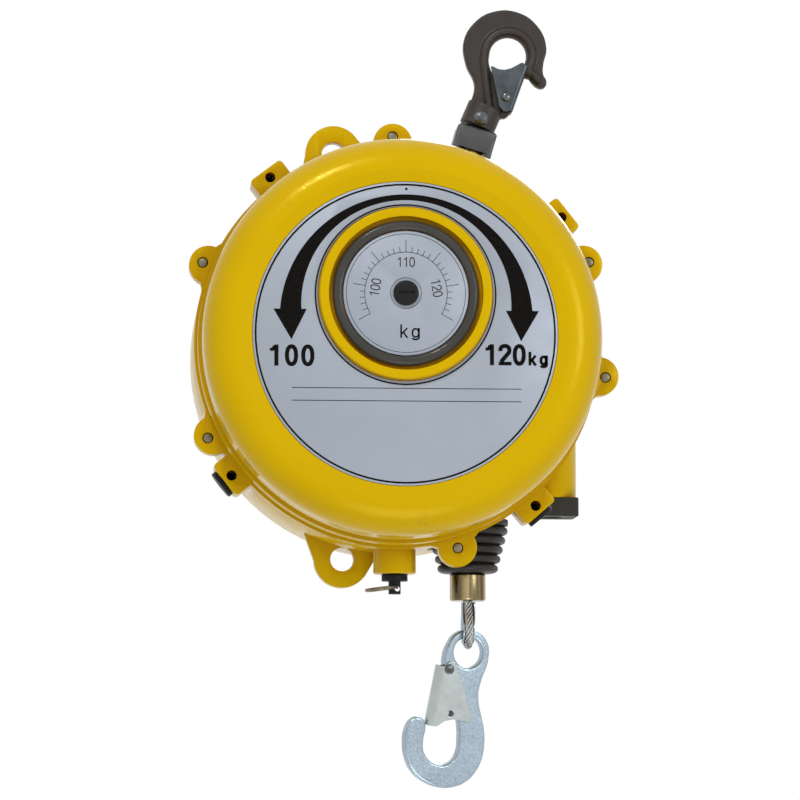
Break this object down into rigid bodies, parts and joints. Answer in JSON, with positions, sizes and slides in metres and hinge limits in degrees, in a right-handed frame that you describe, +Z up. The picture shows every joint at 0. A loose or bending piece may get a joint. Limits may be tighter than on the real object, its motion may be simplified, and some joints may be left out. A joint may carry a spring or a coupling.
{
  "type": "tool balancer",
  "caption": "Spring balancer for heavy hand tools: yellow cast casing with a load dial, sprung conical rope drum, swivelling latched top hook and a latched hook on its wire rope.",
  "frame": {"origin": "where the bowl of the upper hook bears on its support, on the rope's plane", "axes": "+Z up with the label level, as when a load hangs under the hook; -Y out of the dial; +X to the right as the dial is read"},
  "size_m": [0.3162, 0.2058, 0.5827],
  "materials": {
    "yellow_paint": "gloss enamel with a slight orange peel over cast aluminium",
    "label_metal": "fine matt silver plate with black print",
    "dark_bezel": "gloss dark grey moulding",
    "black_plastic": "matt black moulding",
    "cap_plastic": "dark grey moulding",
    "forged_dark": "drop forging with dark oxide",
    "block_steel": "machined block, blackened",
    "zinc_sheet": "bright zinc plate",
    "ferrule_metal": "yellow chromate over zinc, polished by handling",
    "black_rubber": "matt moulded rubber",
    "rope_wire": "stranded wire rope",
    "machine_steel": "ground or turned steel",
    "spring_steel": "tempered blue-grey strip",
    "bronze": "plain bearing bronze",
    "drum_cast": "as-cast and turned aluminium"
  },
  "bodies": {
    "upper_hook": {"upper_hook": "forged_dark", "upper_latch_pin": "machine_steel", "hook_cross_pin": "forged_dark"},
    "upper_latch": {"upper_latch": "block_steel"},
    "swivel": {"swivel_stud": "machine_steel"},
    "hanger": {"hanger_block": "block_steel"},
    "casing": {"rear_casing": "yellow_paint", "front_cover": "yellow_paint", "casing_bolts": "machine_steel", "boss_plugs": "black_plastic", "label_plate": "label_metal", "dial_bezel": "dark_bezel", "shaft_front_bush": "bronze", "shaft_rear_bush": "bronze", "worm_bush": "bronze", "worm_cap": "cap_plastic", "rope_guide": "cap_plastic", "rubber_buffer": "black_rubber", "lock_bush": "bronze", "hanger_pin": "machine_steel"},
    "shaft": {"main_shaft": "machine_steel", "shaft_pinion": "machine_steel", "worm_wheel": "bronze", "wheel_collar": "machine_steel"},
    "dial": {"dial_disc": "label_metal", "dial_hub": "black_plastic", "dial_spindle": "machine_steel", "dial_gear": "bronze"},
    "worm": {"worm": "machine_steel"},
    "drum": {"rope_drum": "drum_cast", "spring_case": "drum_cast", "case_bush": "bronze", "drum_bush": "bronze", "mainspring": "spring_steel", "drum_screws": "machine_steel", "rope_winding": "rope_wire"},
    "plunger": {"lock_plunger": "block_steel"},
    "ring": {"split_ring": "machine_steel"},
    "rope_end": {"rope_lead": "rope_wire", "ferrule": "ferrule_metal", "rope_loop": "rope_wire", "thimble": "zinc_sheet"},
    "lower_hook": {"lower_hook": "zinc_sheet", "lower_latch_pin": "machine_steel"},
    "lower_latch": {"lower_latch": "zinc_sheet"}
  },
  "joints": [
    {"name": "upper_latch_hinge", "type": "hinge", "parent": "upper_hook", "child": "upper_latch", "pos_m": [-0.00251, 0, -0.04685], "axis": [0, 1, 0], "range_deg": [-40, 0], "stiffness_Nm_per_rad": 0.05, "springref_deg": 28.65},
    {"name": "hook_tilt", "type": "hinge", "parent": "upper_hook", "child": "swivel", "pos_m": [-0.02157, 0, -0.06386], "axis": [0, 1, 0], "range_deg": [0, 12]},
    {"name": "hook_swivel", "type": "hinge", "parent": "swivel", "child": "hanger", "pos_m": [-0.03342, 0, -0.10437], "axis": [0.2807, 0, 0.9598], "continuous": true},
    {"name": "hanger_swing", "type": "hinge", "parent": "hanger", "child": "casing", "pos_m": [-0.03342, 0, -0.10437], "axis": [0, 1, 0], "range_deg": [0, 18]},
    {"name": "drum_spin", "type": "hinge", "parent": "casing", "child": "drum", "pos_m": [-0.08702, 0, -0.23936], "axis": [0, 1, 0], "range_deg": [0, 1590], "stiffness_Nm_per_rad": 1.4, "springref_deg": -2211.62},
    {"name": "rope_payout", "type": "slide", "parent": "casing", "child": "rope_end", "axis": [0, 0, -1], "range_m": [0, 2.1], "deforming": ["rope_lead"]},
    {"name": "lower_hook_swing", "type": "hinge", "parent": "rope_end", "child": "lower_hook", "pos_m": [-0.03253, 0, -0.46222], "axis": [-0.2475, 0.9659, 0.0757], "range_deg": [-60, 60]},
    {"name": "lower_latch_hinge", "type": "hinge", "parent": "lower_hook", "child": "lower_latch", "pos_m": [-0.0477, -0.00293, -0.47452], "axis": [-0.2475, 0.9659, 0.0757], "range_deg": [-25, 0], "stiffness_Nm_per_rad": 0.04, "springref_deg": 28.65},
    {"name": "shaft_turn", "type": "hinge", "parent": "casing", "child": "shaft", "pos_m": [-0.08702, 0, -0.23936], "axis": [0, 1, 0], "range_deg": [-245, 245]},
    {"name": "dial_turn", "type": "hinge", "parent": "casing", "child": "dial", "pos_m": [-0.08702, 0, -0.21086], "axis": [0, 1, 0], "range_deg": [-80, 80]},
    {"name": "worm_turn", "type": "hinge", "parent": "casing", "child": "worm", "pos_m": [0.03798, 0.055, -0.23936], "axis": [0, 0, 1], "range_deg": [-18376, 18376]},
    {"name": "lock_push", "type": "slide", "parent": "casing", "child": "plunger", "axis": [0, 0, 1], "range_m": [0, 0.008]},
    {"name": "ring_flip", "type": "hinge", "parent": "plunger", "child": "ring", "pos_m": [-0.08507, -0.014, -0.41617], "axis": [0, 1, 0], "range_deg": [-75, 0]}
  ],
  "couplings": [
    {"joint": "rope_payout", "follows": "drum_spin", "m_per_rad": 0.07565},
    {"joint": "dial_turn", "follows": "shaft_turn", "ratio": -0.32558},
    {"joint": "worm_turn", "follows": "shaft_turn", "ratio": 75}
  ]
}
